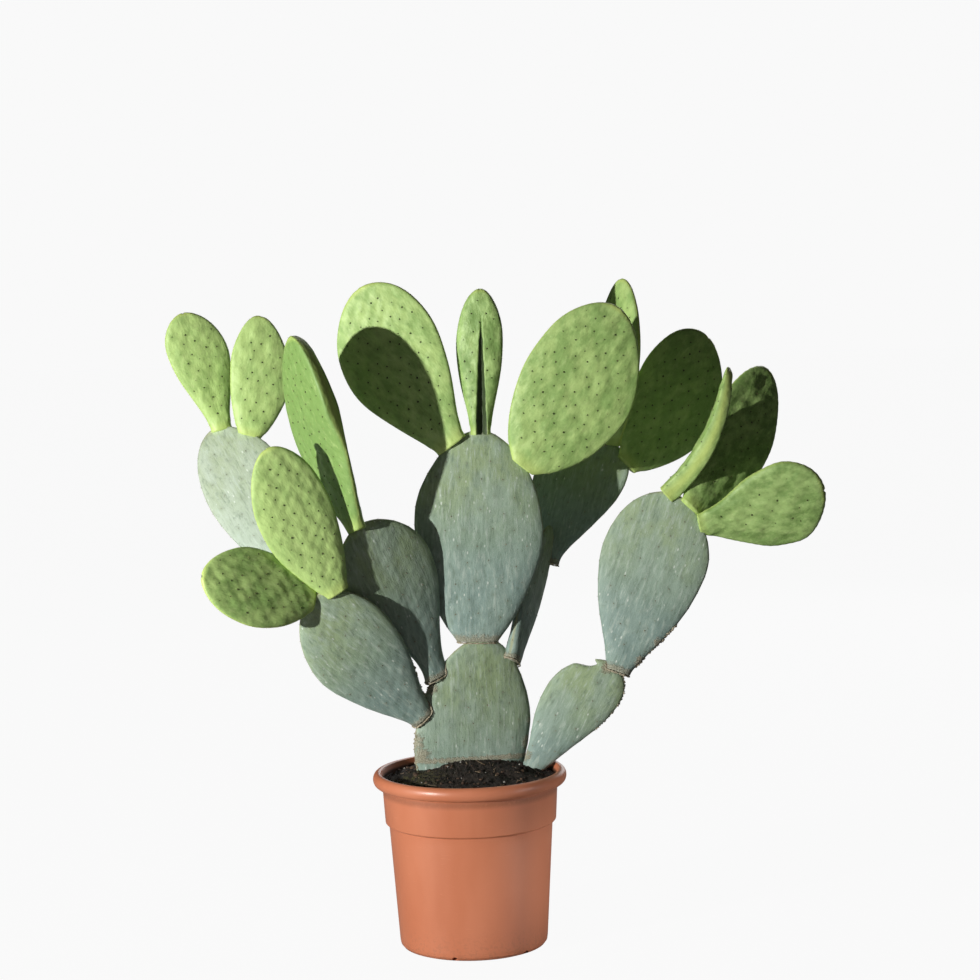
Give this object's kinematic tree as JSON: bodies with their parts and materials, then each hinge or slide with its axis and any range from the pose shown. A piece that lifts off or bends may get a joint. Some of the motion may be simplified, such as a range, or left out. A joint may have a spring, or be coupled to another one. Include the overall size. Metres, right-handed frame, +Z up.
{
  "type": "potted paddle cactus",
  "caption": "Prickly pear cactus of broad oval pads branching up from one trunk pad, planted in soil in a round tapered plastic pot with a rolled lip and a stepped collar.",
  "frame": {"origin": "centre of the pot's underside, on the plane it stands on", "axes": "+Z up the pot's axis, -Y the front, +X to the right seen from the front; the pads spread along X and lie thinnest along Y"},
  "size_m": [0.8114, 0.3495, 0.8233],
  "materials": {
    "pot_plastic": "terracotta-orange moulded plastic, satin",
    "potting_soil": null,
    "old_skin": "old pad skin, waxy blue grey-green, matt",
    "pale_skin": "old pad skin with a thick pale bloom, matt",
    "young_skin": "young pad skin, yellow-green, satin",
    "green_skin": "young lumpy pad skin, mid green, satin"
  },
  "bodies": {
    "root": {"pot": "pot_plastic", "soil": "potting_soil", "base_pad": "old_skin", "centre_pad": "old_skin", "centre_left_pad": "young_skin", "centre_top_pad": "young_skin", "centre_right_pad": "young_skin", "back_stem_pad": "old_skin", "back_pad": "old_skin", "back_right_pad": "young_skin", "back_top_pad": "young_skin", "left_front_pad": "old_skin", "left_front_upright_pad": "young_skin", "left_front_low_pad": "green_skin", "left_back_pad": "old_skin", "left_tall_pad": "young_skin", "left_rear_pad": "pale_skin", "left_rear_outer_pad": "young_skin", "left_rear_inner_pad": "young_skin", "right_stem_pad": "old_skin", "right_pad": "old_skin", "right_edge_pad": "young_skin", "right_upper_pad": "green_skin", "right_outer_pad": "green_skin"}
  },
  "joints": []
}
